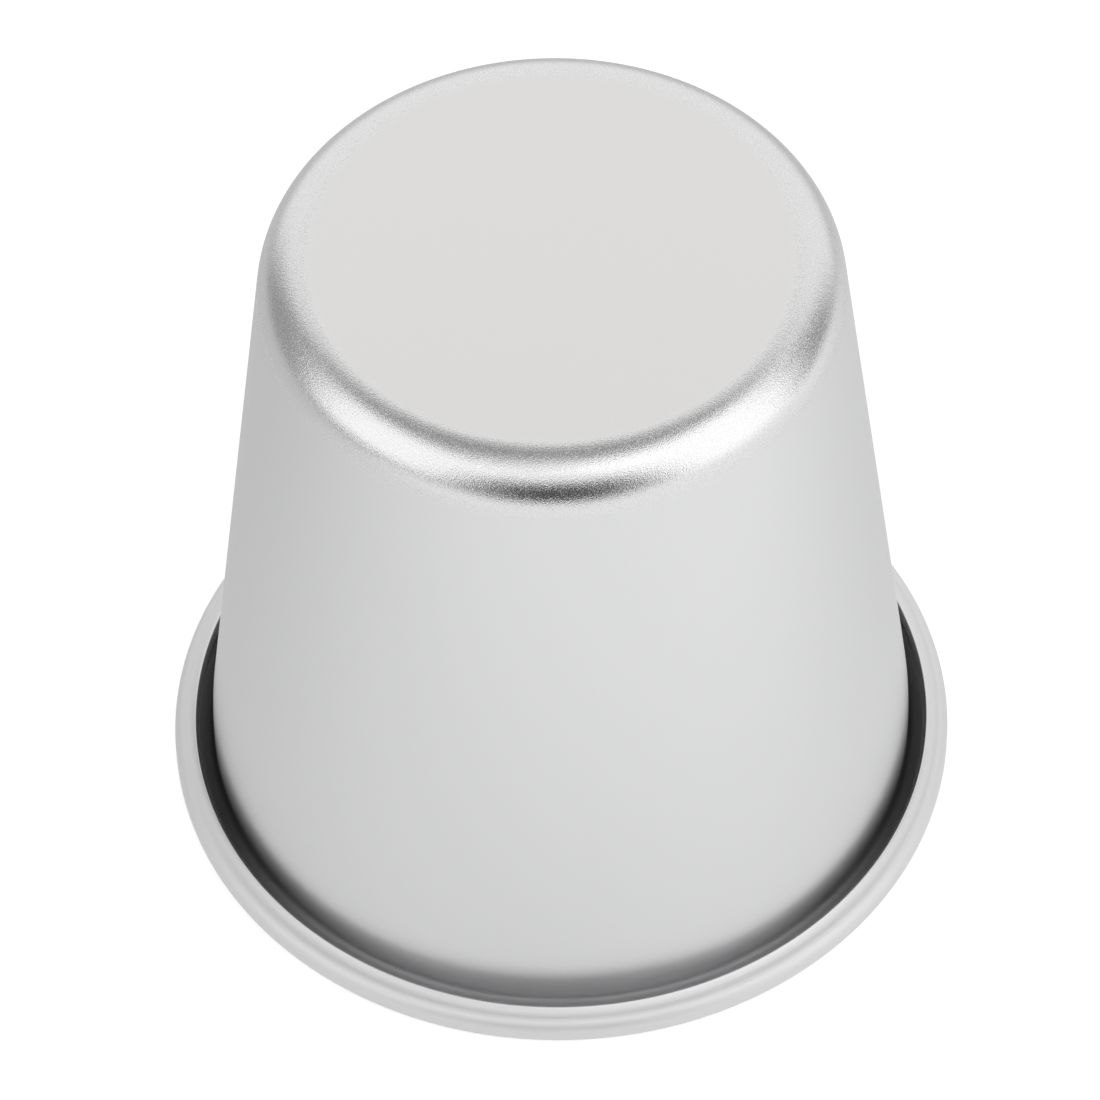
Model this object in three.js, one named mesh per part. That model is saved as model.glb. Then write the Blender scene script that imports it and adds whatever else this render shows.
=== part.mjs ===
// Dariole mould, upside down on its rim: a small tapered baking cup drawn from one aluminium sheet.
// At the mouth the wall ends in a short upright collar. The collar's foot bends out and is rolled up over a
// stiffening wire. The sheet's cut edge is kicked up and stops short of the collar, so a gutter stays open.
// Millimetres, +Z up. The origin is on the axis, in the plane that the rim stands on.

import * as THREE from 'three';

// Driving dimensions
const RIM_DIAMETER = 75; // over the rolled rim
const HEIGHT = 69.6; // from the plane of the rim to the outside of the base
const BASE_DIAMETER = 52.2; // outside of the straight wall, carried on to the plane of the base
const CORNER_RADIUS = 4.65; // outside of the bend between base and wall
const SHEET = 0.8; // thickness of the drawn sheet
const COLLAR_HEIGHT = 3.85; // from the plane of the rim to the top of the upright collar
const COLLAR_BEND = 2.25; // from there up to where the lines of collar and wall would meet
const FOOT_RADIUS = 1.7; // gutter side of the bend where the collar's foot turns out to the rim
const RIM_FLAT = 1.1; // width of the flat ring under the rim
const RIM_BEND = 1.05; // outside of the two bends of the rolled rim
const LIP_FLAT = 0.3; // level top of the rim, between its upper bend and the lip
const LIP_RUN = 0.7; // from there inwards to the sheet's cut edge
const LIP_LIFT = 0.36; // rise of the lip in that run
const WIRE_DIAMETER = 1.2; // stiffening wire in the rim
const WIRE_CLEARANCE = 0.05; // between the wire and the sheet round it

// Facets
const TURN_STEPS = 64; // round the axis
const CORNER_STEPS = 6;
const COLLAR_STEPS = 3;
const FOOT_STEPS = 4;
const RIM_STEPS = 5;
const WIRE_STEPS = 8;

// Points are in the half plane of radius and height. Angles are anticlockwise from straight out.
const DOWN = -Math.PI / 2;
const OUT = 0;
const UP = Math.PI / 2;
const IN = Math.PI;

// Rim: two bends that take the sheet round the wire, from under it to above it
const rimHeight = WIRE_DIAMETER + 2 * (WIRE_CLEARANCE + SHEET);
const rimInside = RIM_BEND - SHEET;
const lowerBend = new THREE.Vector2(RIM_DIAMETER / 2 - RIM_BEND, RIM_BEND);
const upperBend = new THREE.Vector2(lowerBend.x, rimHeight - RIM_BEND);
const wireCentre = new THREE.Vector2((RIM_DIAMETER - rimHeight) / 2, rimHeight / 2);

// Lip: the end of the sheet, kicked up from the level top of the rim and cut square
const lipSlope = Math.atan2(LIP_LIFT, LIP_RUN);
const lipTop = new THREE.Vector2(upperBend.x - LIP_FLAT, rimHeight);
const lipUnder = new THREE.Vector2(lipTop.x - SHEET * Math.tan(lipSlope / 2), lipTop.y - SHEET);
const edgeTop = new THREE.Vector2(lipTop.x - LIP_RUN, lipTop.y + LIP_LIFT);
const edgeUnder = new THREE.Vector2(
	edgeTop.x - SHEET * Math.sin(lipSlope),
	edgeTop.y - SHEET * Math.cos(lipSlope),
);

// Foot: the bend from the collar to the flat ring under the rim
const footInside = FOOT_RADIUS;
const footOutside = FOOT_RADIUS + SHEET;
const footCentre = new THREE.Vector2(lowerBend.x - RIM_FLAT, footOutside);

// Wall: a straight line on the sheet's outside, from the plane of the base to the line of the collar
const collarRadius = footCentre.x - footInside;
const wallLength = HEIGHT - COLLAR_HEIGHT - COLLAR_BEND;
const taper = Math.atan2(collarRadius - BASE_DIAMETER / 2, wallLength);

// Collar: a slow bend from the wall's line to upright
const bendRadius = COLLAR_BEND / Math.tan(taper / 2);
const bendCentre = new THREE.Vector2(collarRadius - bendRadius, COLLAR_HEIGHT);

// Corner: a bend that touches the base's plane and the wall's line
const cornerCentre = new THREE.Vector2(
	BASE_DIAMETER / 2 - CORNER_RADIUS * Math.tan((UP - taper) / 2),
	HEIGHT - CORNER_RADIUS,
);

// Points on a circle from one angle to another, both ends included
function arc(centre, radius, from, to, steps) {
	return Array.from({ length: steps + 1 }, (_, i) => {
		const angle = from + (to - from) * i / steps;
		return new THREE.Vector2(
			centre.x + radius * Math.cos(angle),
			centre.y + radius * Math.sin(angle),
		);
	});
}

// A profile turned once round the Z axis
function turned(profile) {
	const geometry = new THREE.LatheGeometry(profile, TURN_STEPS);
	geometry.rotateX(Math.PI / 2);
	return geometry;
}

// Shell: one sheet from the middle of the base to the cut edge of the lip, and back along its other face
function shellGeometry() {
	const outerFace = [
		new THREE.Vector2(0, HEIGHT),
		...arc(cornerCentre, CORNER_RADIUS, UP, taper, CORNER_STEPS),
		...arc(bendCentre, bendRadius, taper, OUT, COLLAR_STEPS),
		...arc(footCentre, footInside, -IN, DOWN, FOOT_STEPS),
		...arc(lowerBend, rimInside, DOWN, OUT, RIM_STEPS),
		...arc(upperBend, rimInside, OUT, UP, RIM_STEPS),
		lipUnder,
		edgeUnder,
	];
	const innerFace = [
		edgeTop,
		lipTop,
		...arc(upperBend, RIM_BEND, UP, OUT, RIM_STEPS),
		...arc(lowerBend, RIM_BEND, OUT, DOWN, RIM_STEPS),
		...arc(footCentre, footOutside, DOWN, -IN, FOOT_STEPS),
		...arc(bendCentre, bendRadius - SHEET, OUT, taper, COLLAR_STEPS),
		...arc(cornerCentre, CORNER_RADIUS - SHEET, taper, UP, CORNER_STEPS),
		new THREE.Vector2(0, HEIGHT - SHEET),
	];
	return turned([...outerFace, ...innerFace].reverse());
}

// Wire: a closed ring in the rolled rim
function wireGeometry() {
	return turned(arc(wireCentre, WIRE_DIAMETER / 2, -IN, IN, WIRE_STEPS));
}

const satinAluminium = new THREE.MeshStandardMaterial({ color: 0xcfcecb, roughness: 0.35, metalness: 1 });
const galvanisedSteel = new THREE.MeshStandardMaterial({ color: 0x9a9c9e, roughness: 0.5, metalness: 1 });

const mouldShell = new THREE.Mesh(shellGeometry(), satinAluminium);
mouldShell.name = 'mould_shell';

const rimWire = new THREE.Mesh(wireGeometry(), galvanisedSteel);
rimWire.name = 'rim_wire';

const darioleMould = new THREE.Group();
darioleMould.add(mouldShell, rimWire);

export default darioleMould;
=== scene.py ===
"""Looks of a dariole mould: a drawn aluminium cup that stands mouth down on a pale studio floor.

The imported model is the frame. The fine shell and the wire in its rim are turned sections, worked out as
whole arrays, and they stand for the two solids in the same places. Lengths are in metres, +Z is up, and the
axis of the mould is the Z axis.
"""

import logging
import math
from dataclasses import dataclass
from enum import Enum

import bpy
import numpy as np
from mathutils import Matrix, Vector


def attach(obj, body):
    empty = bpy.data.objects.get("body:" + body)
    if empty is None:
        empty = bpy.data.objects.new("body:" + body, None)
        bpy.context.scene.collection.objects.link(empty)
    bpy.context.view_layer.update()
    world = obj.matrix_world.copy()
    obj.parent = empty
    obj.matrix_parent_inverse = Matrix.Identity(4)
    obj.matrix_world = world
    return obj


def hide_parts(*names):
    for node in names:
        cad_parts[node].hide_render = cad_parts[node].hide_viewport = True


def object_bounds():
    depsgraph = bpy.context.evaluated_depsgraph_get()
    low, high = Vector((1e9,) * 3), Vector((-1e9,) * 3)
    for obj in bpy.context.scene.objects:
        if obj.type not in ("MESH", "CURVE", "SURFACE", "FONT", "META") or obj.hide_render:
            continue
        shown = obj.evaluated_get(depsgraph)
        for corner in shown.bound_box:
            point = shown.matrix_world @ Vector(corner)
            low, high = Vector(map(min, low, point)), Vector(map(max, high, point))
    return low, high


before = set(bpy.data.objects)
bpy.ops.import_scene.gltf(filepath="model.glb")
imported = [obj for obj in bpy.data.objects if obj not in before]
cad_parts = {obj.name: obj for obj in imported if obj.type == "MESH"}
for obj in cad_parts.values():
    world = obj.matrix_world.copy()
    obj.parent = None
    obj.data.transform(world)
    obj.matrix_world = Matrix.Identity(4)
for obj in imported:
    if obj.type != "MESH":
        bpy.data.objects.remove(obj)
CAD_LOW, CAD_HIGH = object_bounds()

LOG = logging.getLogger("dariole_mould")
BODY = "root"

# A colour with its alpha, and a length along each axis
Colour = tuple[float, float, float, float]
Lengths = tuple[float, float, float]

# The attribute that holds a place along the sheet, and Blender's names of two kinds of socket
WRAPPED = "wrapped"
VECTOR = "NodeSocketVector"
FLOAT = "NodeSocketFloat"

# Power over area of a lamp that looks white, and the mean of Blender's noise
WATTS_PER_AREA = 4.0
NOISE_MEAN = 0.5

# Units, and the distance under which two points of a section are one
MM = 0.001
FULL_TURN = 2 * math.pi
HALF_TURN = math.pi
QUARTER_TURN = math.pi / 2
SAME_POINT = 0.0001 * MM


class Ends(Enum):
    """How a turned section closes: with a pole at each end, or on itself."""

    ON_AXIS = "on_axis"
    RING = "ring"


class Zone(Enum):
    """Stretches of the sheet's section that have a finish of their own."""

    BASE = "base"
    CORNER = "corner"
    WALL = "wall"
    GUTTER = "gutter"
    EDGE = "edge"
    RIM = "rim"
    INSIDE = "inside"


# How far a zone's finish runs out into its neighbours, for the zones that have a mask
FADES: dict[Zone, float] = {
    Zone.BASE: 1.5 * MM,
    Zone.CORNER: 0.8 * MM,
    Zone.GUTTER: 0.5 * MM,
    Zone.RIM: 0.3 * MM,
}


@dataclass(frozen=True)
class Stretch:
    """One run of the section.

    Attributes:
        zone: The finish that the run has.
        points: Radius and height of each point, one row a point.
    """

    zone: Zone
    points: np.ndarray


def arc(centre: np.ndarray, radius: float, start: float, stop: float, steps: int) -> np.ndarray:
    """Points on a circle: the centre plus the radius times the cosine and sine of an even run of angles.

    Args:
        centre: Radius and height of the circle's centre.
        radius: The circle's radius.
        start: First angle, anticlockwise from straight out.
        stop: Last angle.
        steps: Number of steps between them.

    Returns:
        One row of radius and height for each point, both ends included.
    """
    angle = np.linspace(start, stop, steps + 1)
    return centre + radius * np.stack([np.cos(angle), np.sin(angle)], axis=1)


def line(start: np.ndarray, stop: np.ndarray, steps: int) -> np.ndarray:
    """Points on a straight line: the start plus even shares of the way to the stop.

    Args:
        start: First point.
        stop: Last point.
        steps: Number of even steps between them.

    Returns:
        One row of radius and height for each point, both ends included.
    """
    share = np.linspace(0.0, 1.0, steps + 1)[:, None]
    return start + (stop - start) * share


def fillet(
    before: np.ndarray, corner: np.ndarray, after: np.ndarray, radius: float, steps: int
) -> np.ndarray:
    """A rounded corner: the arc that touches both of its sides.

    The arc's centre lies on the line that halves the corner, at the radius over the sine of the half angle.

    Args:
        before: A point on the side that comes in.
        corner: The sharp corner.
        after: A point on the side that goes out.
        radius: The arc's radius.
        steps: Number of steps of the arc.

    Returns:
        One row of radius and height for each point of the arc, from side to side.
    """
    back, ahead = before - corner, after - corner
    back, ahead = back / np.hypot(*back), ahead / np.hypot(*ahead)
    half = math.acos(float(np.clip(back @ ahead, -1.0, 1.0))) / 2
    middle = (back + ahead) / np.hypot(*(back + ahead))
    centre = corner + middle * radius / math.sin(half)
    start = math.atan2(*(corner + back * radius / math.tan(half) - centre)[::-1])
    turn = math.copysign(HALF_TURN - 2 * half, back[1] * ahead[0] - back[0] * ahead[1])
    return arc(centre, radius, start, start + turn, steps)


def run_length(points: np.ndarray) -> np.ndarray:
    """Distance of each point from the first, along the section: the running sum of the steps' lengths."""
    return np.concatenate([[0.0], np.cumsum(np.hypot(*np.diff(points, axis=0).T))])


def smooth(value: np.ndarray) -> np.ndarray:
    """The cubic that runs from 0 to 1 with level ends, for values clipped to 0 and 1."""
    clipped = np.clip(value, 0.0, 1.0)
    return clipped * clipped * (3.0 - 2.0 * clipped)


def turned_mesh(name: str, section: np.ndarray, around: int, ends: Ends) -> bpy.types.Mesh:
    """A section turned once round the Z axis, as a closed mesh.

    Point i of the section at step j round the axis lies at radius times the cosine and sine of j turns over
    the number of steps, and at the section's height. Each pair of neighbouring rings is joined by quads, and
    a pole is one vertex with a fan of triangles.

    Args:
        name: Name of the mesh.
        section: Radius and height of each point, in the order that keeps the outside on the left.
        around: Number of steps round the axis.
        ends: Whether the first and last point are poles, or the section closes on itself.

    Returns:
        The mesh, with smooth faces.
    """
    rings = section[1:-1] if ends is Ends.ON_AXIS else section
    angle = np.arange(around) * (FULL_TURN / around)
    ring_points = np.stack(
        [
            rings[:, :1] * np.cos(angle),
            rings[:, :1] * np.sin(angle),
            np.broadcast_to(rings[:, 1:], (len(rings), around)),
        ],
        axis=2,
    ).reshape(-1, 3)
    index = np.arange(len(ring_points)).reshape(len(rings), around)
    upper, lower = (index, np.roll(index, -1, axis=0)) if ends is Ends.RING else (index[:-1], index[1:])
    quads = np.stack(
        [upper, lower, np.roll(lower, -1, axis=1), np.roll(upper, -1, axis=1)], axis=2
    ).reshape(-1, 4)
    points, faces = ring_points, quads.tolist()
    if ends is Ends.ON_AXIS:
        first_pole = len(ring_points)
        last_pole = first_pole + 1
        poles = np.array([[0.0, 0.0, section[0, 1]], [0.0, 0.0, section[-1, 1]]])
        points = np.concatenate([ring_points, poles])
        first_fan = np.stack([np.full(around, first_pole), index[0], np.roll(index[0], -1)], axis=1)
        last_fan = np.stack([np.full(around, last_pole), np.roll(index[-1], -1), index[-1]], axis=1)
        faces = faces + first_fan.tolist() + last_fan.tolist()
    mesh = bpy.data.meshes.new(name)
    mesh.from_pydata(points.tolist(), [], faces)
    mesh.polygons.foreach_set("use_smooth", np.ones(len(mesh.polygons), dtype=bool))
    mesh.update()
    return mesh


def link(name: str, mesh: bpy.types.Mesh) -> bpy.types.Object:
    """Puts a mesh into the scene.

    Args:
        name: Name of the object.
        mesh: Its mesh.

    Returns:
        The new object, at the origin.
    """
    piece = bpy.data.objects.new(name, mesh)
    bpy.context.scene.collection.objects.link(piece)
    return piece


@dataclass
class SheetSection:
    """Section of the drawn sheet, from the middle of the base to the cut edge of the rolled rim and back.

    The wall is a straight line on the sheet's outside, which bends slowly to a short upright collar. The
    collar's foot bends out, runs level under the rim and is rolled over the wire in two bends. The end of
    the sheet is a lip that is kicked up and stops short of the collar, so that a narrow gutter stays open.

    Attributes:
        rim_radius: Over the rolled rim.
        height: From the plane of the rim to the outside of the base.
        base_radius: Outside of the straight wall, carried on to the plane of the base.
        corner_radius: Outside of the bend between base and wall.
        sheet: Thickness of the drawn sheet.
        collar_height: From the plane of the rim to the top of the upright collar.
        collar_bend: From there up to where the lines of collar and wall would meet.
        foot_radius: Gutter side of the bend where the collar's foot turns out to the rim.
        rim_flat: Width of the flat ring under the rim.
        rim_bend: Outside of the two bends of the rolled rim.
        wire_room: Height inside the rolled rim.
        lip_flat: Level top of the rim, between its upper bend and the lip.
        lip_run: From there inwards to the cut edge.
        lip_lift: Rise of the lip in that run.
        lip_round: Rounding of the valley between the level top and the lip.
        edge_round: Rounding of the cut edge.
        fine_run: Length of the fine steps at the end of a straight run.
        flat_steps: Steps of the rest of a straight run.
        fine_steps: Fine steps at its end.
        corner_steps: Steps of the base corner.
        collar_steps: Steps of the bend to the collar.
        foot_steps: Steps of the foot bend.
        room_steps: Steps of each bend inside the rolled rim.
        lip_steps: Steps of each rounding of the lip and its edge.
        rim_steps: Steps of each bend outside the rolled rim.
    """

    rim_radius: float
    height: float
    base_radius: float = 26.1 * MM
    corner_radius: float = 4.65 * MM
    sheet: float = 0.8 * MM
    collar_height: float = 3.85 * MM
    collar_bend: float = 2.25 * MM
    foot_radius: float = 1.7 * MM
    rim_flat: float = 1.1 * MM
    rim_bend: float = 1.05 * MM
    wire_room: float = 1.3 * MM
    lip_flat: float = 0.3 * MM
    lip_run: float = 0.7 * MM
    lip_lift: float = 0.36 * MM
    lip_round: float = 1.2 * MM
    edge_round: float = 0.1 * MM
    fine_run: float = 2.0 * MM
    flat_steps: int = 4
    fine_steps: int = 6
    corner_steps: int = 28
    collar_steps: int = 12
    foot_steps: int = 14
    room_steps: int = 8
    lip_steps: int = 8
    rim_steps: int = 24

    def __post_init__(self) -> None:
        """Works out the centres and angles that the runs share."""
        rim_height = self.wire_room + 2 * self.sheet
        self.rim_inside = self.rim_bend - self.sheet
        self.lower_bend = np.array([self.rim_radius - self.rim_bend, self.rim_bend])
        self.upper_bend = np.array([self.lower_bend[0], rim_height - self.rim_bend])
        self.wire_centre = np.array([self.rim_radius - rim_height / 2, rim_height / 2])
        slope = math.atan2(self.lip_lift, self.lip_run)
        self.lip_top = np.array([self.upper_bend[0] - self.lip_flat, rim_height])
        self.lip_under = self.lip_top - self.sheet * np.array([math.tan(slope / 2), 1.0])
        self.edge_top = self.lip_top + np.array([-self.lip_run, self.lip_lift])
        self.edge_under = self.edge_top - self.sheet * np.array([math.sin(slope), math.cos(slope)])
        self.foot_outside = self.foot_radius + self.sheet
        self.foot_centre = np.array([self.lower_bend[0] - self.rim_flat, self.foot_outside])
        collar_radius = self.foot_centre[0] - self.foot_radius
        wall_length = self.height - self.collar_height - self.collar_bend
        self.taper = math.atan2(collar_radius - self.base_radius, wall_length)
        self.bend_radius = self.collar_bend / math.tan(self.taper / 2)
        self.bend_centre = np.array([collar_radius - self.bend_radius, self.collar_height])
        lean = math.tan((QUARTER_TURN - self.taper) / 2)
        self.corner_centre = np.array(
            [self.base_radius - self.corner_radius * lean, self.height - self.corner_radius]
        )

    def flat(self, start: np.ndarray, stop: np.ndarray) -> np.ndarray:
        """A straight run with fine steps near its end, where one finish runs out into the next.

        Args:
            start: First point.
            stop: Last point, with the fine steps before it.

        Returns:
            One row of radius and height for each point.
        """
        fine = stop + (start - stop) * self.fine_run / np.hypot(*(start - stop))
        return np.concatenate([line(start, fine, self.flat_steps)[:-1], line(fine, stop, self.fine_steps)])

    def outside(self) -> list[Stretch]:
        """The sheet's outer face: straight runs, with arcs that touch them at the bends.

        Returns:
            The runs from the middle of the base to the rim's cut edge.
        """
        pole = np.array([0.0, self.height])
        flat_end = np.array([self.corner_centre[0], self.height])
        corner = arc(self.corner_centre, self.corner_radius, QUARTER_TURN, self.taper, self.corner_steps)
        bend = arc(self.bend_centre, self.bend_radius, self.taper, 0.0, self.collar_steps)
        foot = arc(self.foot_centre, self.foot_radius, -HALF_TURN, -QUARTER_TURN, self.foot_steps)
        lower = arc(self.lower_bend, self.rim_inside, -QUARTER_TURN, 0.0, self.room_steps)
        upper = arc(self.upper_bend, self.rim_inside, 0.0, QUARTER_TURN, self.room_steps)
        lip = fillet(upper[-1], self.lip_under, self.edge_under, self.lip_round + self.sheet, self.lip_steps)
        edge = fillet(self.lip_under, self.edge_under, self.edge_top, self.edge_round, self.lip_steps)
        return [
            Stretch(Zone.BASE, self.flat(pole, flat_end)),
            Stretch(Zone.CORNER, corner),
            Stretch(Zone.WALL, self.flat(bend[0], corner[-1])[::-1]),
            Stretch(Zone.WALL, bend),
            Stretch(Zone.GUTTER, foot),
            Stretch(Zone.GUTTER, lower),
            Stretch(Zone.GUTTER, upper),
            Stretch(Zone.GUTTER, lip),
            Stretch(Zone.EDGE, edge),
        ]

    def inside(self) -> list[Stretch]:
        """The sheet's inner face: the outer face's runs and arcs, at the sheet's thickness from them.

        Returns:
            The runs from the cut edge over the rim and up the cup to the middle of the base.
        """
        upper = arc(self.upper_bend, self.rim_bend, QUARTER_TURN, 0.0, self.rim_steps)
        lower = arc(self.lower_bend, self.rim_bend, 0.0, -QUARTER_TURN, self.rim_steps)
        edge = fillet(self.edge_under, self.edge_top, self.lip_top, self.edge_round, self.lip_steps)
        lip = fillet(self.edge_top, self.lip_top, upper[0], self.lip_round, self.lip_steps)
        foot = arc(self.foot_centre, self.foot_outside, -QUARTER_TURN, -HALF_TURN, self.foot_steps)
        bend = arc(self.bend_centre, self.bend_radius - self.sheet, 0.0, self.taper, self.collar_steps)
        inner_radius = self.corner_radius - self.sheet
        corner = arc(self.corner_centre, inner_radius, self.taper, QUARTER_TURN, self.corner_steps)
        ceiling = self.height - self.sheet
        flat_end = np.array([self.corner_centre[0], ceiling])
        return [
            Stretch(Zone.EDGE, edge),
            Stretch(Zone.RIM, lip),
            Stretch(Zone.RIM, upper),
            Stretch(Zone.RIM, lower),
            Stretch(Zone.RIM, foot),
            Stretch(Zone.INSIDE, bend),
            Stretch(Zone.INSIDE, line(bend[-1], corner[0], self.flat_steps)),
            Stretch(Zone.INSIDE, corner),
            Stretch(Zone.INSIDE, line(flat_end, np.array([0.0, ceiling]), self.flat_steps)),
        ]


@dataclass
class MouldShell:
    """The drawn cup with its rolled rim, one continuous sheet.

    Attributes:
        section: Section of the sheet.
        around: Number of steps round the axis.
        name: Name of the piece.
        cad_node: The solid that it stands for.
        slot: The record's material slot; not used.
    """

    section: SheetSection
    around: int = 320
    name: str = "drawn_shell"
    cad_node: str = "mould_shell"
    slot: str = "satin_aluminium"

    def section_points(self) -> tuple[np.ndarray, dict[Zone, np.ndarray]]:
        """The whole section as one run without repeated points, and which points lie in each zone.

        Returns:
            One row of radius and height for each point, and a true or false for each point under its zone.
        """
        stretches = self.section.outside() + self.section.inside()
        points = np.concatenate([stretch.points for stretch in stretches])
        zones = np.concatenate([np.full(len(stretch.points), stretch.zone.value) for stretch in stretches])
        step = np.hypot(*np.diff(points, axis=0).T)
        kept = np.concatenate([[True], step > SAME_POINT])
        return points[kept], {zone: zones[kept] == zone.value for zone in Zone}

    def spread(self, values: np.ndarray) -> np.ndarray:
        """One value for each vertex of the turned mesh: each ring's value repeated, then the two poles'."""
        return np.concatenate([np.repeat(values[1:-1], self.around), values[:1], values[-1:]])

    def paint_zones(self, mesh: bpy.types.Mesh, run: np.ndarray, zones: dict[Zone, np.ndarray]) -> None:
        """Writes a mask for each zone that has a fade: 1 in the zone, falling smoothly to 0 over the fade.

        Args:
            mesh: The turned mesh.
            run: Distance of each point of the section along it.
            zones: Which points of the section lie in each zone.
        """
        for zone, fade in FADES.items():
            apart = np.abs(run[:, None] - run[zones[zone]][None, :]).min(axis=1)
            attribute = mesh.attributes.new(zone.value, "FLOAT", "POINT")
            attribute.data.foreach_set("value", self.spread(smooth(1.0 - apart / fade)).astype(np.float32))

    def paint_wrapped(self, mesh: bpy.types.Mesh, run: np.ndarray) -> None:
        """Writes a place that follows the sheet: a point on a circle of the rim's radius, and the run.

        Args:
            mesh: The turned mesh.
            run: Distance of each point of the section along it.
        """
        angle = np.arange(self.around) * (FULL_TURN / self.around)
        circle = self.section.rim_radius * np.stack([np.cos(angle), np.sin(angle)], axis=1)
        across = np.concatenate([np.tile(circle, (len(run) - 2, 1)), np.zeros((2, 2))])
        place = np.concatenate([across, self.spread(run)[:, None]], axis=1)
        attribute = mesh.attributes.new(WRAPPED, "FLOAT_VECTOR", "POINT")
        attribute.data.foreach_set("vector", place.astype(np.float32).ravel())

    def build(self) -> bpy.types.Object:
        """Makes the shell with its masks, in place of the solid.

        Returns:
            The piece, without a material.
        """
        points, zones = self.section_points()
        run = run_length(points)
        mesh = turned_mesh(self.name, points, self.around, Ends.ON_AXIS)
        self.paint_zones(mesh, run, zones)
        self.paint_wrapped(mesh, run)
        piece = link(self.name, mesh)
        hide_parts(self.cad_node)
        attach(piece, BODY)
        return piece


@dataclass
class RimWire:
    """The wire that the rim is rolled over, a closed ring in the bend of the rim.

    Attributes:
        section: Section of the sheet round it.
        clearance: Between the wire and the sheet.
        around: Number of steps round the axis.
        sides: Number of steps round the wire.
        name: Name of the piece.
        cad_node: The solid that it stands for.
        slot: The record's material slot; not used.
    """

    section: SheetSection
    clearance: float = 0.05 * MM
    around: int = 240
    sides: int = 20
    name: str = "stiffening_wire"
    cad_node: str = "rim_wire"
    slot: str = "rim_wire_steel"

    def build(self) -> bpy.types.Object:
        """Makes the ring, a circle turned round the axis, in place of the solid.

        Returns:
            The piece, without a material.
        """
        radius = self.section.wire_room / 2 - self.clearance
        circle = arc(self.section.wire_centre, radius, FULL_TURN, 0.0, self.sides)[:-1]
        piece = link(self.name, turned_mesh(self.name, circle, self.around, Ends.RING))
        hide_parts(self.cad_node)
        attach(piece, BODY)
        return piece


class Nodes:
    """Short calls that add and join nodes in one node tree."""

    def __init__(self, tree: bpy.types.NodeTree) -> None:
        """Keeps the tree and empties it."""
        self.tree = tree
        tree.nodes.clear()

    def add(self, kind: str, **settings: object) -> bpy.types.Node:
        """A new node with its settings.

        Args:
            kind: Blender's name of the node's class.
            **settings: Properties of the node and their values.

        Returns:
            The node.
        """
        node = self.tree.nodes.new(kind)
        for key, value in settings.items():
            setattr(node, key, value)
        return node

    def join(self, output: bpy.types.NodeSocket, target: bpy.types.NodeSocket) -> None:
        """Links an output to an input."""
        self.tree.links.new(output, target)

    def feed(self, target: bpy.types.NodeSocket, value: object) -> None:
        """Gives an input its value.

        Args:
            target: The input.
            value: An output to link, or a plain value.
        """
        if isinstance(value, bpy.types.NodeSocket):
            self.join(value, target)
        else:
            target.default_value = value

    def principled(self) -> tuple[bpy.types.Node, bpy.types.Node]:
        """A shader that is joined to the material's output.

        Returns:
            The shader and the output.
        """
        output = self.add("ShaderNodeOutputMaterial")
        shader = self.add("ShaderNodeBsdfPrincipled")
        self.join(shader.outputs["BSDF"], output.inputs["Surface"])
        return shader, output

    def object_place(self) -> bpy.types.NodeSocket:
        """The place on the piece in the object's coordinates."""
        return self.add("ShaderNodeTexCoord").outputs["Object"]

    def mask(self, zone: Zone) -> bpy.types.NodeSocket:
        """The mask of a zone of the sheet."""
        return self.add("ShaderNodeAttribute", attribute_name=zone.value).outputs["Fac"]

    def math(self, operation: str, first: object, second: object) -> bpy.types.NodeSocket:
        """A Math node of two inputs, each a socket or a number.

        Args:
            operation: Blender's name of the operation.
            first: First input.
            second: Second input.

        Returns:
            The node's output.
        """
        node = self.add("ShaderNodeMath", operation=operation)
        self.feed(node.inputs[0], first)
        self.feed(node.inputs[1], second)
        return node.outputs[0]

    def scaled(self, value: bpy.types.NodeSocket, gain: float, middle: float) -> bpy.types.NodeSocket:
        """A value times a gain, plus a middle."""
        return self.math("ADD", self.math("MULTIPLY", value, gain), middle)

    def ranged(self, value: bpy.types.NodeSocket, low: object, high: object) -> bpy.types.NodeSocket:
        """A Map Range node from 0 and 1 to two bounds, each a socket or a number.

        Args:
            value: What is mapped.
            low: Result at 0.
            high: Result at 1.

        Returns:
            The node's output.
        """
        node = self.add("ShaderNodeMapRange")
        self.join(value, node.inputs["Value"])
        self.feed(node.inputs["To Min"], low)
        self.feed(node.inputs["To Max"], high)
        return node.outputs["Result"]

    def mixed(self, share: bpy.types.NodeSocket, first: object, second: object) -> bpy.types.NodeSocket:
        """A mix of two colours, each a socket or a plain colour.

        Args:
            share: How much of the second colour there is.
            first: Result at 0.
            second: Result at 1.

        Returns:
            The node's output.
        """
        node = self.add("ShaderNodeMix", data_type="RGBA")
        self.join(share, node.inputs[0])
        self.feed(node.inputs[6], first)
        self.feed(node.inputs[7], second)
        return node.outputs[2]

    def painted_shade(self, group: bpy.types.NodeTree, place: bpy.types.NodeSocket) -> bpy.types.NodeSocket:
        """The group of the gutter's painted shade, at a place.

        Args:
            group: The group.
            place: Where on the piece.

        Returns:
            The share of painted shade, from 0 to 1.
        """
        node = self.add("ShaderNodeGroup", node_tree=group)
        self.join(place, node.inputs["Place"])
        return node.outputs["Share"]

    def marks(
        self, group: bpy.types.NodeTree, place: bpy.types.NodeSocket, size: Lengths
    ) -> bpy.types.NodeSocket:
        """The group of fine marks, at a place.

        Args:
            group: The group.
            place: Where on the piece.
            size: Length of a mark along each axis of the place.

        Returns:
            The marks' height, about -0.5 to 0.5.
        """
        node = self.add("ShaderNodeGroup", node_tree=group)
        self.join(place, node.inputs["Place"])
        node.inputs["Size"].default_value = size
        return node.outputs["Height"]


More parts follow.
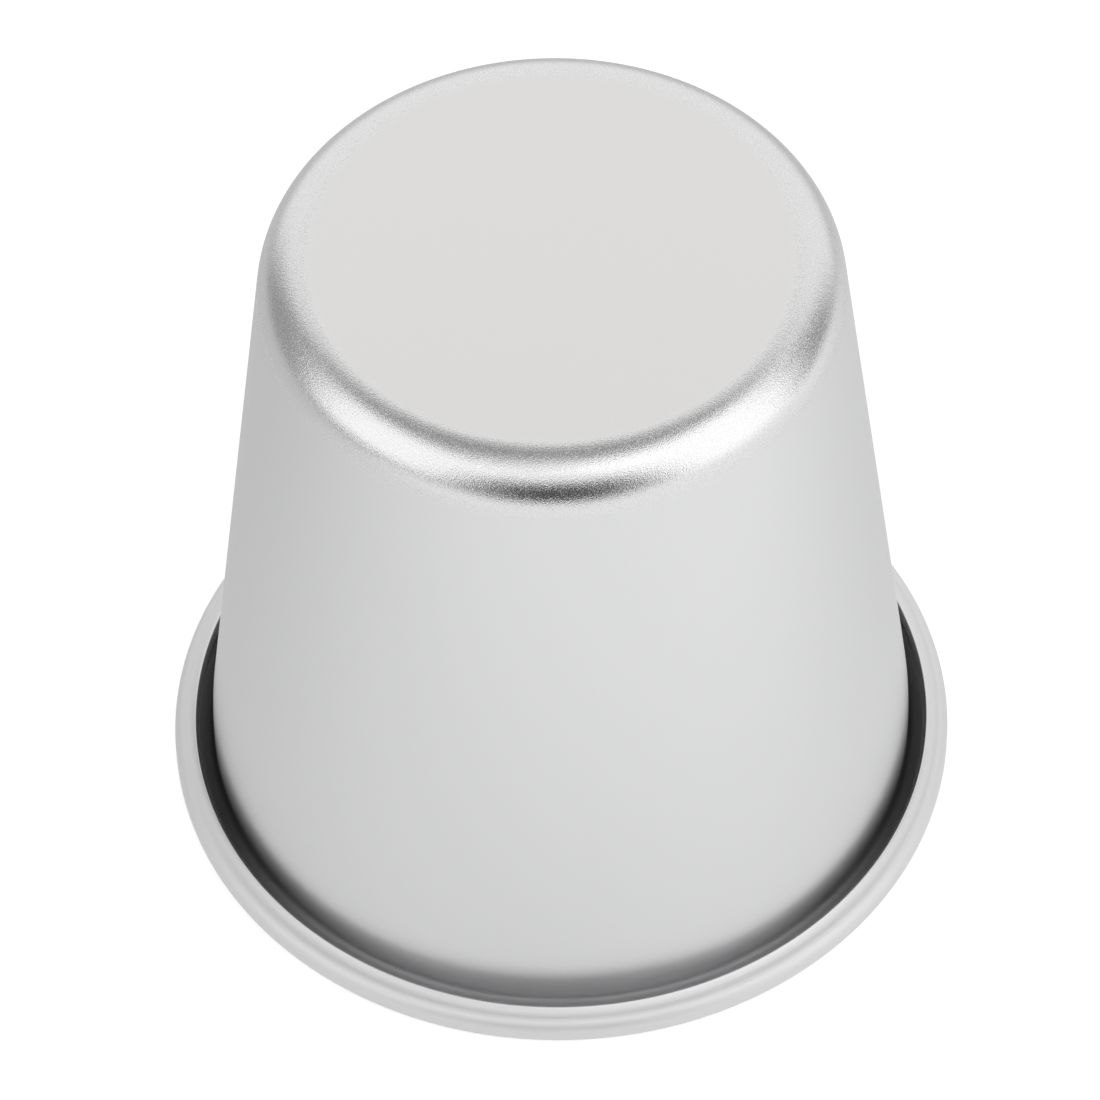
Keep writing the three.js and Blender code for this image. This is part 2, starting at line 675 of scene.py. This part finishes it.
def new_material(name: str) -> tuple[bpy.types.Material, Nodes]:
    """Makes a material with an empty tree.

    Args:
        name: Name of the material.

    Returns:
        The material, and the calls that fill its tree.
    """
    material = bpy.data.materials.new(name)
    material.use_nodes = True
    return material, Nodes(material.node_tree)


def marks_group() -> bpy.types.NodeTree:
    """Fine marks: noise of a place that is divided by the length of a mark along each axis.

    Even lengths give a grain, and one long length gives lines.

    Returns:
        A shader node group that puts out the marks' height, about -0.5 to 0.5 with a mean of 0.
    """
    group = bpy.data.node_groups.new("fine_marks", "ShaderNodeTree")
    group.interface.new_socket("Place", in_out="INPUT", socket_type=VECTOR)
    group.interface.new_socket("Size", in_out="INPUT", socket_type=VECTOR)
    group.interface.new_socket("Height", in_out="OUTPUT", socket_type=FLOAT)
    nodes = Nodes(group)
    given, put = nodes.add("NodeGroupInput"), nodes.add("NodeGroupOutput")
    divided = nodes.add("ShaderNodeVectorMath", operation="DIVIDE")
    nodes.join(given.outputs["Place"], divided.inputs[0])
    nodes.join(given.outputs["Size"], divided.inputs[1])
    noise = nodes.add("ShaderNodeTexNoise", noise_dimensions="3D")
    noise.inputs["Scale"].default_value = 1.0
    noise.inputs["Detail"].default_value = 1.0
    nodes.join(divided.outputs["Vector"], noise.inputs["Vector"])
    nodes.join(nodes.math("SUBTRACT", noise.outputs["Fac"], NOISE_MEAN), put.inputs["Height"])
    return group


@dataclass(frozen=True)
class GutterPaintedShade:
    """Painted shade in the gutter: none at the front, and more round to the sides and the back.

    Attributes:
        start: Where it starts: how far in front of the axis, as a share of the rim's radius.
        full: Where it is darkest, in the same measure, and behind that too.
    """

    start: float = 0.92
    full: float = 0.2

    def group(self, rim_radius: float) -> bpy.types.NodeTree:
        """Makes the shader node group: how far a place lies between start and full, smoothed at both ends.

        Args:
            rim_radius: Over the rolled rim.

        Returns:
            A group that puts out the share of painted shade, from 0 to 1.
        """
        group = bpy.data.node_groups.new("gutter_painted_shade", "ShaderNodeTree")
        group.interface.new_socket("Place", in_out="INPUT", socket_type=VECTOR)
        group.interface.new_socket("Share", in_out="OUTPUT", socket_type=FLOAT)
        nodes = Nodes(group)
        given, put = nodes.add("NodeGroupInput"), nodes.add("NodeGroupOutput")
        parts = nodes.add("ShaderNodeSeparateXYZ")
        nodes.join(given.outputs["Place"], parts.inputs[0])
        # Painted shade: none in front of start, all of it behind full, smooth between
        turn = nodes.add("ShaderNodeMapRange", interpolation_type="SMOOTHSTEP")
        nodes.join(parts.outputs["Y"], turn.inputs["Value"])
        turn.inputs["From Min"].default_value = -self.start * rim_radius
        turn.inputs["From Max"].default_value = -self.full * rim_radius
        nodes.join(turn.outputs["Result"], put.inputs["Share"])
        return group


@dataclass(frozen=True)
class SatinAluminium:
    """Drawn aluminium: satin on base and wall, grained on the corner, lined round the rim.

    The gutter's colour has a painted shade: none at the front, and darker round to the sides and the back.

    Attributes:
        wall_colour: The wall, inside and out, and the cut edge.
        base_colour: The flat base.
        rim_colour: The rolled rim and the lip's top.
        unshaded_gutter_colour: The gutter at the front, where it has no painted shade.
        painted_shade_colour: The gutter at the sides and the back, with its full painted shade.
        dark_grain: Dark specks of the corner's grain.
        pale_grain: Pale specks of the corner's grain.
        wall_roughness: Roughness of the wall.
        base_roughness: Roughness of the base.
        corner_roughness: Mean roughness of the corner.
        gutter_roughness: Roughness of the gutter.
        rim_roughness: Roughness of the rim.
        grain_size: Size of a speck.
        speckle_gain: How strongly the grain's height parts dark from pale specks.
        speckle_middle: Share of pale specks at the grain's mean height.
        grain_swing: How strongly the grain's height changes the corner's roughness.
        corner_grain: Depth of the grain on the corner.
        base_grain: Depth of the grain on the base.
        wall_line: Size of a line down the wall.
        wall_depth: Depth of those lines.
        rim_line: Size of a line round the rim.
        rim_depth: Depth of those lines.
    """

    wall_colour: Colour = (0.798, 0.8, 0.803, 1.0)
    base_colour: Colour = (0.805, 0.798, 0.786, 1.0)
    rim_colour: Colour = (0.845, 0.845, 0.843, 1.0)
    # The gutter's colour: unshaded at the front, and with its full painted shade at the sides and the back
    unshaded_gutter_colour: Colour = (0.9, 0.9, 0.905, 1.0)
    painted_shade_colour: Colour = (0.37, 0.37, 0.368, 1.0)
    dark_grain: Colour = (0.69, 0.692, 0.695, 1.0)
    pale_grain: Colour = (0.9, 0.898, 0.895, 1.0)
    wall_roughness: float = 0.32
    base_roughness: float = 0.26
    corner_roughness: float = 0.16
    gutter_roughness: float = 0.35
    rim_roughness: float = 0.62
    grain_size: Lengths = (0.11 * MM, 0.11 * MM, 0.11 * MM)
    speckle_gain: float = 2.0
    speckle_middle: float = 0.5
    grain_swing: float = 0.7
    corner_grain: float = 0.024 * MM
    base_grain: float = 0.002 * MM
    wall_line: Lengths = (0.2 * MM, 0.2 * MM, 30.0 * MM)
    wall_depth: float = 0.002 * MM
    rim_line: Lengths = (5.0 * MM, 5.0 * MM, 0.12 * MM)
    rim_depth: float = 0.02 * MM

    def tone(
        self, nodes: Nodes, zones: dict[Zone, bpy.types.NodeSocket], grain: bpy.types.NodeSocket,
        painted_shade: bpy.types.NodeSocket,
    ) -> bpy.types.NodeSocket:
        """Works out the colour: each zone's own, laid over the wall's by its mask.

        Args:
            nodes: Calls on the material's tree.
            zones: The masks of the zones.
            grain: Height of the grain.
            painted_shade: Share of painted shade.

        Returns:
            The colour.
        """
        specks = nodes.scaled(grain, self.speckle_gain, self.speckle_middle)
        tone = nodes.mixed(zones[Zone.BASE], self.wall_colour, self.base_colour)
        tone = nodes.mixed(zones[Zone.RIM], tone, self.rim_colour)
        tone = nodes.mixed(zones[Zone.CORNER], tone, nodes.mixed(specks, self.dark_grain, self.pale_grain))
        # Painted shade: the gutter's colour darkens from the front round to the sides and the back
        shaded_gutter = nodes.mixed(painted_shade, self.unshaded_gutter_colour, self.painted_shade_colour)
        return nodes.mixed(zones[Zone.GUTTER], tone, shaded_gutter)

    def satin(
        self, nodes: Nodes, zones: dict[Zone, bpy.types.NodeSocket], grain: bpy.types.NodeSocket
    ) -> bpy.types.NodeSocket:
        """Works out the roughness: each zone's own, laid over the wall's by its mask.

        Args:
            nodes: Calls on the material's tree.
            zones: The masks of the zones.
            grain: Height of the grain.

        Returns:
            The roughness.
        """
        satin = nodes.ranged(zones[Zone.BASE], self.wall_roughness, self.base_roughness)
        satin = nodes.ranged(zones[Zone.GUTTER], satin, self.gutter_roughness)
        satin = nodes.ranged(zones[Zone.RIM], satin, self.rim_roughness)
        grained = nodes.scaled(grain, self.grain_swing, self.corner_roughness)
        return nodes.ranged(zones[Zone.CORNER], satin, grained)

    def relief(
        self, nodes: Nodes, zones: dict[Zone, bpy.types.NodeSocket], grain: bpy.types.NodeSocket,
        marks: bpy.types.NodeTree,
    ) -> bpy.types.NodeSocket:
        """Works out the height: grain on corner and base, lines down the wall and lines round the rim.

        Each is the height of its marks times a depth that its zones' masks give.

        Args:
            nodes: Calls on the material's tree.
            zones: The masks of the zones.
            grain: Height of the grain.
            marks: The group of fine marks.

        Returns:
            The height.
        """
        base, corner, rim = zones[Zone.BASE], zones[Zone.CORNER], zones[Zone.RIM]
        wrapped = nodes.add("ShaderNodeAttribute", attribute_name=WRAPPED).outputs["Vector"]
        grain_depth = nodes.ranged(corner, nodes.ranged(base, 0.0, self.base_grain), self.corner_grain)
        height = nodes.math("MULTIPLY", grain, grain_depth)
        lines = nodes.marks(marks, wrapped, self.wall_line)
        line_depth = nodes.ranged(rim, nodes.ranged(base, self.wall_depth, 0.0), 0.0)
        height = nodes.math("ADD", height, nodes.math("MULTIPLY", lines, line_depth))
        rings = nodes.marks(marks, wrapped, self.rim_line)
        ring_depth = nodes.ranged(rim, 0.0, self.rim_depth)
        return nodes.math("ADD", height, nodes.math("MULTIPLY", rings, ring_depth))

    def material(self, marks: bpy.types.NodeTree, painted_shade: bpy.types.NodeTree) -> bpy.types.Material:
        """Makes the finish.

        Args:
            marks: The group of fine marks.
            painted_shade: The group of the gutter's painted shade.

        Returns:
            The material.
        """
        material, nodes = new_material("satin_aluminium")
        shader, _ = nodes.principled()
        shader.inputs["Metallic"].default_value = 1.0
        zones = {zone: nodes.mask(zone) for zone in FADES}
        place = nodes.object_place()
        grain = nodes.marks(marks, place, self.grain_size)
        tone = self.tone(nodes, zones, grain, nodes.painted_shade(painted_shade, place))
        nodes.join(tone, shader.inputs["Base Color"])
        nodes.join(self.satin(nodes, zones, grain), shader.inputs["Roughness"])
        bump = nodes.add("ShaderNodeBump")
        bump.inputs["Strength"].default_value = 1.0
        bump.inputs["Distance"].default_value = 1.0
        nodes.join(self.relief(nodes, zones, grain, marks), bump.inputs["Height"])
        nodes.join(bump.outputs["Normal"], shader.inputs["Normal"])
        return material


@dataclass(frozen=True)
class DrawnWire:
    """Plain drawn steel wire, dulled, in the rolled rim, with the gutter's painted shade on its colour.

    Attributes:
        colour: The wire at the front, where it has no painted shade.
        painted_shade_colour: The wire at the sides and the back, with its full painted shade.
        roughness: Mean roughness.
        roughness_swing: How strongly the grain changes the roughness.
        grain_size: Size of a speck of the grain.
    """

    # The wire's colour: unshaded at the front, and with its full painted shade at the sides and the back
    colour: Colour = (0.7, 0.7, 0.71, 1.0)
    painted_shade_colour: Colour = (0.3, 0.3, 0.298, 1.0)
    roughness: float = 0.4
    roughness_swing: float = 0.2
    grain_size: Lengths = (0.2 * MM, 0.2 * MM, 0.2 * MM)

    def material(self, marks: bpy.types.NodeTree, painted_shade: bpy.types.NodeTree) -> bpy.types.Material:
        """Makes the finish.

        Args:
            marks: The group of fine marks.
            painted_shade: The group of the gutter's painted shade.

        Returns:
            The material.
        """
        material, nodes = new_material("rim_wire_steel")
        shader, _ = nodes.principled()
        shader.inputs["Metallic"].default_value = 1.0
        place = nodes.object_place()
        # Painted shade: the wire's colour darkens from the front round to the sides and the back
        tone = nodes.mixed(nodes.painted_shade(painted_shade, place), self.colour, self.painted_shade_colour)
        nodes.join(tone, shader.inputs["Base Color"])
        grain = nodes.marks(marks, place, self.grain_size)
        dulled = nodes.scaled(grain, self.roughness_swing, self.roughness)
        nodes.join(dulled, shader.inputs["Roughness"])
        return material


@dataclass(frozen=True)
class SoftPanel:
    """One large lamp of the studio, turned to the mould.

    Attributes:
        name: The lamp's name.
        azimuth: Degrees round from the camera's side, to the right.
        elevation: Degrees above the middle of the mould.
        width: Width of the panel.
        height: Height of the panel.
        radiance: How bright the panel looks above the room, where 1 is white.
        distance: From the middle of the mould.
    """

    name: str
    azimuth: float
    elevation: float
    width: float
    height: float
    radiance: float
    distance: float = 0.9

    def build(self, aim: Vector) -> bpy.types.Object:
        """Makes the lamp.

        Args:
            aim: The point that it is turned to.

        Returns:
            The lamp's object.
        """
        lamp = bpy.data.lights.new(self.name, "AREA")
        lamp.shape = "RECTANGLE"
        lamp.size = self.width
        lamp.size_y = self.height
        lamp.energy = self.radiance * WATTS_PER_AREA * self.width * self.height
        round_axis, above = math.radians(self.azimuth), math.radians(self.elevation)
        level = Vector((math.sin(round_axis), -math.cos(round_axis), 0.0)) * math.cos(above)
        away = level + Vector((0.0, 0.0, math.sin(above)))
        panel = bpy.data.objects.new(self.name, lamp)
        panel.location = aim + away * self.distance
        panel.rotation_euler = (-away).to_track_quat("-Z", "Y").to_euler()
        panel.visible_camera = False
        bpy.context.scene.collection.objects.link(panel)
        return panel


@dataclass
class Studio:
    """Floor, card, lamps, surroundings and camera.

    Attributes:
        aim: The middle of the mould, which the lamps are turned to.
        panels: The lamps.
        room: Brightness of the surroundings, where 1 is white.
        matt: Roughness of the floor and the card.
        floor_radius: Radius of the floor's disc.
        floor_steps: Number of its sides.
        floor_colour: Its grey.
        floor_lift: Brightness that it gains for the camera.
        floor_mirror_lift: Brightness that it gains in reflections, at the axis.
        floor_fade: Way from the axis over which that gain changes by its own amount.
        floor_palest: Most times that gain.
        floor_heading: Degrees from the camera's right, anticlockwise, of the way in which it grows paler.
        card_distance: From the axis to the dark card.
        card_width: Width of the card.
        card_height: Height of the card.
        card_colour: Its grey.
        camera_elevation: Degrees above the floor.
        camera_distance: From the camera to the point that it looks at.
        camera_aim_height: Height of that point on the axis.
        camera_pan: Degrees that the camera is then panned.
        camera_tilt: Degrees that it is tilted.
        camera_roll: Degrees that it is rolled.
        camera_lens: Focal length in millimetres.
        camera_sensor: Width of its sensor in millimetres.
        camera_near: Nearest distance that it sees.
    """

    aim: Vector
    panels: tuple[SoftPanel, ...] = (
        SoftPanel("right_panel", 63, 36, 1.0, 1.35, 0.7),
        SoftPanel("left_panel", -63, 36, 1.0, 1.05, 0.62),
        SoftPanel("top_front_panel", 0, 59, 0.42, 0.86, 0.44),
        SoftPanel("back_panel", 173, 0, 2.3, 3.4, 0.445),
    )
    room: float = 0.45
    matt: float = 0.9
    floor_radius: float = 4.0
    floor_steps: int = 96
    floor_colour: float = 0.74
    floor_lift: float = 0.5
    floor_mirror_lift: float = 0.15
    floor_fade: float = 0.09
    floor_palest: float = 2.0
    floor_heading: float = -60.0
    card_distance: float = 0.5
    card_width: float = 0.34
    card_height: float = 0.37
    card_colour: float = 0.12
    camera_elevation: float = 51.564
    camera_distance: float = 653.0 * MM
    camera_aim_height: float = 18.35 * MM
    camera_pan: float = 0.063
    camera_tilt: float = 0.507
    camera_roll: float = 1.225
    camera_lens: float = 224.24
    camera_sensor: float = 36.0
    camera_near: float = 0.01

    def matt_shader(self, nodes: Nodes, grey: float) -> tuple[bpy.types.Node, bpy.types.Node]:
        """A matt grey shader without gloss.

        Args:
            nodes: Calls on the material's tree.
            grey: Its grey.

        Returns:
            The shader and the output.
        """
        shader, output = nodes.principled()
        shader.inputs["Base Color"].default_value = (grey, grey, grey, 1.0)
        shader.inputs["Roughness"].default_value = self.matt
        shader.inputs["Specular IOR Level"].default_value = 0.0
        return shader, output

    def floor_glow(self, nodes: Nodes) -> bpy.types.NodeSocket:
        """Works out the brightness that the floor gains for the camera and in reflections.

        In reflections it grows evenly along the heading: the way from the axis over the fade, plus 1.

        Args:
            nodes: Calls on the floor's tree.

        Returns:
            The strength of the gain.
        """
        path = nodes.add("ShaderNodeLightPath")
        heading = math.radians(self.floor_heading)
        along = nodes.add("ShaderNodeVectorMath", operation="DOT_PRODUCT")
        nodes.join(nodes.object_place(), along.inputs[0])
        along.inputs[1].default_value = (math.cos(heading), math.sin(heading), 0.0)
        paler = nodes.math("ADD", nodes.math("DIVIDE", along.outputs["Value"], self.floor_fade), 1.0)
        paler = nodes.math("MINIMUM", nodes.math("MAXIMUM", paler, 0.0), self.floor_palest)
        mirrored = nodes.math("MAXIMUM", path.outputs["Is Glossy Ray"], path.outputs["Is Transmission Ray"])
        mirrored = nodes.math("MULTIPLY", mirrored, nodes.math("MULTIPLY", paler, self.floor_mirror_lift))
        seen = nodes.math("MULTIPLY", path.outputs["Is Camera Ray"], self.floor_lift)
        return nodes.math("ADD", seen, mirrored)

    def build_floor(self) -> bpy.types.Object:
        """Makes the pale floor, a wide disc that is white to the camera and paler to one side in reflections.

        Returns:
            The floor.
        """
        angle = np.arange(self.floor_steps) * (FULL_TURN / self.floor_steps)
        points = self.floor_radius * np.stack([np.cos(angle), np.sin(angle), np.zeros_like(angle)], axis=1)
        mesh = bpy.data.meshes.new("floor")
        mesh.from_pydata(points.tolist(), [], [list(range(self.floor_steps))])
        floor = link("floor", mesh)
        material, nodes = new_material("pale_floor")
        shader, output = self.matt_shader(nodes, self.floor_colour)
        glow = nodes.add("ShaderNodeEmission")
        nodes.join(self.floor_glow(nodes), glow.inputs["Strength"])
        both = nodes.add("ShaderNodeAddShader")
        nodes.join(shader.outputs["BSDF"], both.inputs[0])
        nodes.join(glow.outputs["Emission"], both.inputs[1])
        nodes.join(both.outputs["Shader"], output.inputs["Surface"])
        mesh.materials.append(material)
        return floor

    def build_card(self) -> bpy.types.Object:
        """Makes the dark card that stands under the camera, seen only in the mould's reflections.

        Returns:
            The card.
        """
        half, front = self.card_width / 2, -self.card_distance
        points = [(half, front, 0.0), (-half, front, 0.0)]
        points += [(-half, front, self.card_height), (half, front, self.card_height)]
        mesh = bpy.data.meshes.new("dark_card")
        mesh.from_pydata(points, [], [(0, 1, 2, 3)])
        card = link("dark_card", mesh)
        material, nodes = new_material("dark_card")
        self.matt_shader(nodes, self.card_colour)
        mesh.materials.append(material)
        card.visible_camera = False
        card.visible_diffuse = False
        card.visible_shadow = False
        return card

    def build_world(self) -> bpy.types.World:
        """Makes the surroundings: white to the camera, and a dim even room for everything else.

        Returns:
            The world.
        """
        world = bpy.data.worlds.new("studio_room")
        bpy.context.scene.world = world
        world.use_nodes = True
        nodes = Nodes(world.node_tree)
        output = nodes.add("ShaderNodeOutputWorld")
        background = nodes.add("ShaderNodeBackground")
        path = nodes.add("ShaderNodeLightPath")
        strength = nodes.ranged(path.outputs["Is Camera Ray"], self.room, 1.0)
        nodes.join(strength, background.inputs["Strength"])
        nodes.join(background.outputs["Background"], output.inputs["Surface"])
        return world

    def build_camera(self) -> bpy.types.Object:
        """Makes the camera at the photograph's viewing angle.

        It looks from its elevation at a point on the axis, and is then panned, tilted and rolled a little.

        Returns:
            The camera's object.
        """
        above = math.radians(self.camera_elevation)
        back = Vector((0.0, -math.cos(above), math.sin(above)))
        right = Vector((1.0, 0.0, 0.0))
        up = right.cross(-back)
        stand = Matrix((right, up, back)).transposed()
        pan = Matrix.Rotation(math.radians(self.camera_pan), 3, "Y")
        tilt = Matrix.Rotation(math.radians(self.camera_tilt), 3, "X")
        roll = Matrix.Rotation(-math.radians(self.camera_roll), 3, "Z")
        data = bpy.data.cameras.new("camera")
        data.sensor_width = self.camera_sensor
        data.lens = self.camera_lens
        data.clip_start = self.camera_near
        camera = bpy.data.objects.new("camera", data)
        place = Vector((0.0, 0.0, self.camera_aim_height)) + back * self.camera_distance
        camera.matrix_world = Matrix.Translation(place) @ (stand @ pan @ tilt @ roll).to_4x4()
        bpy.context.scene.collection.objects.link(camera)
        bpy.context.scene.camera = camera
        return camera

    def build(self) -> None:
        """Makes the camera, floor, card, surroundings and lamps."""
        self.build_camera()
        self.build_floor()
        self.build_card()
        self.build_world()
        for panel in self.panels:
            panel.build(self.aim)
        bpy.context.scene.view_settings.view_transform = "Standard"


def main() -> None:
    """Builds the studio and the mould, dresses the mould and reports each piece."""
    logging.basicConfig(level=logging.INFO, format="%(name)s: %(message)s")
    Studio(aim=(CAD_LOW + CAD_HIGH) / 2).build()
    section = SheetSection(rim_radius=CAD_HIGH.x, height=CAD_HIGH.z)
    # Fine marks, and the painted shade that darkens the gutter and the wire round to the sides and the back
    marks, painted_shade = marks_group(), GutterPaintedShade().group(section.rim_radius)
    shell = MouldShell(section).build()
    shell.data.materials.append(SatinAluminium().material(marks, painted_shade))
    wire = RimWire(section).build()
    wire.data.materials.append(DrawnWire().material(marks, painted_shade))
    for piece in (shell, wire):
        LOG.info("%s has %d faces", piece.name, len(piece.data.polygons))


if __name__ == "__main__":
    main()
